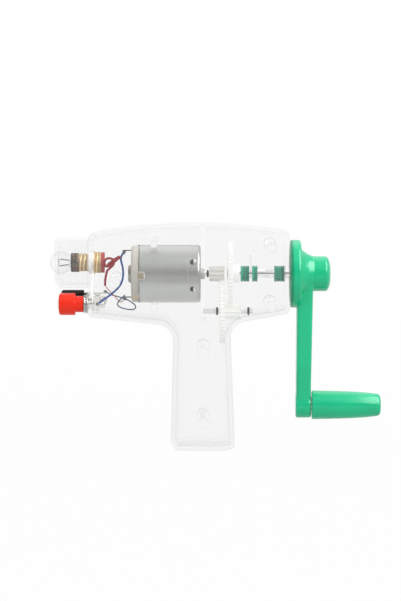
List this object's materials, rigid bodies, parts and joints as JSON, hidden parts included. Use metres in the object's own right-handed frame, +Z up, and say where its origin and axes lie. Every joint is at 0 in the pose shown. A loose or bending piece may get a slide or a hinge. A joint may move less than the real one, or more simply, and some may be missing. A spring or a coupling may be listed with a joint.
{
  "type": "hand crank generator",
  "caption": "Pistol-shaped hand crank generator: a clear case with a geared motor, a screw lamp, two terminal posts and a crank with a turning handle.",
  "frame": {"origin": "middle of the grip's flat base", "axes": "+X from the lamp to the crank, along the motor and crank axis; +Y to the back half of the case; +Z up"},
  "size_m": [0.1589, 0.036, 0.1073],
  "materials": {
    "clear_case": "polished clear moulding",
    "green_plastic": "glossy moulded",
    "steel_can": "satin drawn sheet",
    "bright_steel": "ground",
    "white_plastic": "moulded",
    "gear_plastic": "natural translucent moulding",
    "brass": "bright pressed sheet",
    "nickel": "plated",
    "bulb_glass": "blown",
    "black_glass": "glazed",
    "solder": "dull",
    "tungsten": "dark wire",
    "red_fibre": "pressed fibre",
    "red_plastic": "glossy moulded",
    "black_plastic": "glossy moulded",
    "red_insulation": "soft vinyl",
    "blue_insulation": "soft vinyl",
    "ferrite": "sintered",
    "laminations": "stacked sheet",
    "copper": "turned"
  },
  "bodies": {
    "case": {"case_front": "clear_case", "case_back": "clear_case", "lamp_hood": "clear_case", "motor_can": "steel_can", "motor_end_cap": "white_plastic", "motor_front_bearing": "brass", "motor_rear_bearing": "nickel", "motor_terminal_top": "brass", "motor_terminal_bottom": "brass", "motor_magnets": "ferrite", "lamp_glass": "bulb_glass", "lamp_base": "brass", "lamp_insulator": "black_glass", "lamp_tip": "solder", "lamp_supports": "tungsten", "lamp_filament": "tungsten", "lamp_bead": "bulb_glass", "lamp_holder_shell": "brass", "lamp_holder_washer": "red_fibre", "lamp_holder_contact": "nickel", "lamp_strap": "brass", "red_post_stud": "nickel", "red_post_collar": "nickel", "red_post_tag": "nickel", "red_post_nut": "nickel", "black_post_stud": "nickel", "black_post_collar": "nickel", "black_post_tag": "nickel", "black_post_nut": "nickel", "red_wire": "red_insulation", "blue_wire_near": "blue_insulation", "blue_wire_far": "blue_insulation"},
    "rotor": {"motor_shaft": "bright_steel", "motor_armature": "laminations", "motor_commutator": "copper", "motor_pinion": "gear_plastic"},
    "counter": {"countershaft": "bright_steel", "counter_wheel": "gear_plastic", "counter_pinion": "gear_plastic"},
    "crank": {"crank_arm": "green_plastic", "crank_axle": "bright_steel", "crank_wheel": "gear_plastic", "axle_collar_inner": "green_plastic", "axle_collar_middle": "green_plastic", "axle_collar_outer": "green_plastic", "handle_pin": "bright_steel"},
    "handle": {"handle_grip": "green_plastic"},
    "red_thread": {"red_post_insert": "brass"},
    "red_knob": {"red_post_knob": "red_plastic"},
    "black_thread": {"black_post_insert": "brass"},
    "black_knob": {"black_post_knob": "black_plastic"}
  },
  "joints": [
    {"name": "crank_turn", "type": "hinge", "parent": "case", "child": "crank", "pos_m": [0, 0, 0.0833], "axis": [1, 0, 0], "continuous": true},
    {"name": "counter_turn", "type": "hinge", "parent": "case", "child": "counter", "pos_m": [0, 0, 0.0653], "axis": [1, 0, 0], "continuous": true},
    {"name": "rotor_turn", "type": "hinge", "parent": "case", "child": "rotor", "pos_m": [0, 0, 0.0833], "axis": [1, 0, 0], "continuous": true},
    {"name": "handle_turn", "type": "hinge", "parent": "crank", "child": "handle", "pos_m": [0.05195, 0, 0.0199], "axis": [1, 0, 0], "continuous": true},
    {"name": "red_knob_out", "type": "slide", "parent": "case", "child": "red_thread", "axis": [-1, 0, 0], "range_m": [0, 0.0042]},
    {"name": "red_knob_turn", "type": "hinge", "parent": "red_thread", "child": "red_knob", "pos_m": [-0.0685, -0.0095, 0.0695], "axis": [-1, 0, 0], "range_deg": [0, 2160]},
    {"name": "black_knob_out", "type": "slide", "parent": "case", "child": "black_thread", "axis": [-1, 0, 0], "range_m": [0, 0.0042]},
    {"name": "black_knob_turn", "type": "hinge", "parent": "black_thread", "child": "black_knob", "pos_m": [-0.0685, 0.0095, 0.0695], "axis": [-1, 0, 0], "range_deg": [0, 2160]}
  ],
  "couplings": [
    {"joint": "counter_turn", "follows": "crank_turn", "ratio": -5},
    {"joint": "rotor_turn", "follows": "crank_turn", "ratio": 25},
    {"joint": "red_knob_turn", "follows": "red_knob_out", "rad_per_m": 8976},
    {"joint": "black_knob_turn", "follows": "black_knob_out", "rad_per_m": 8976}
  ]
}
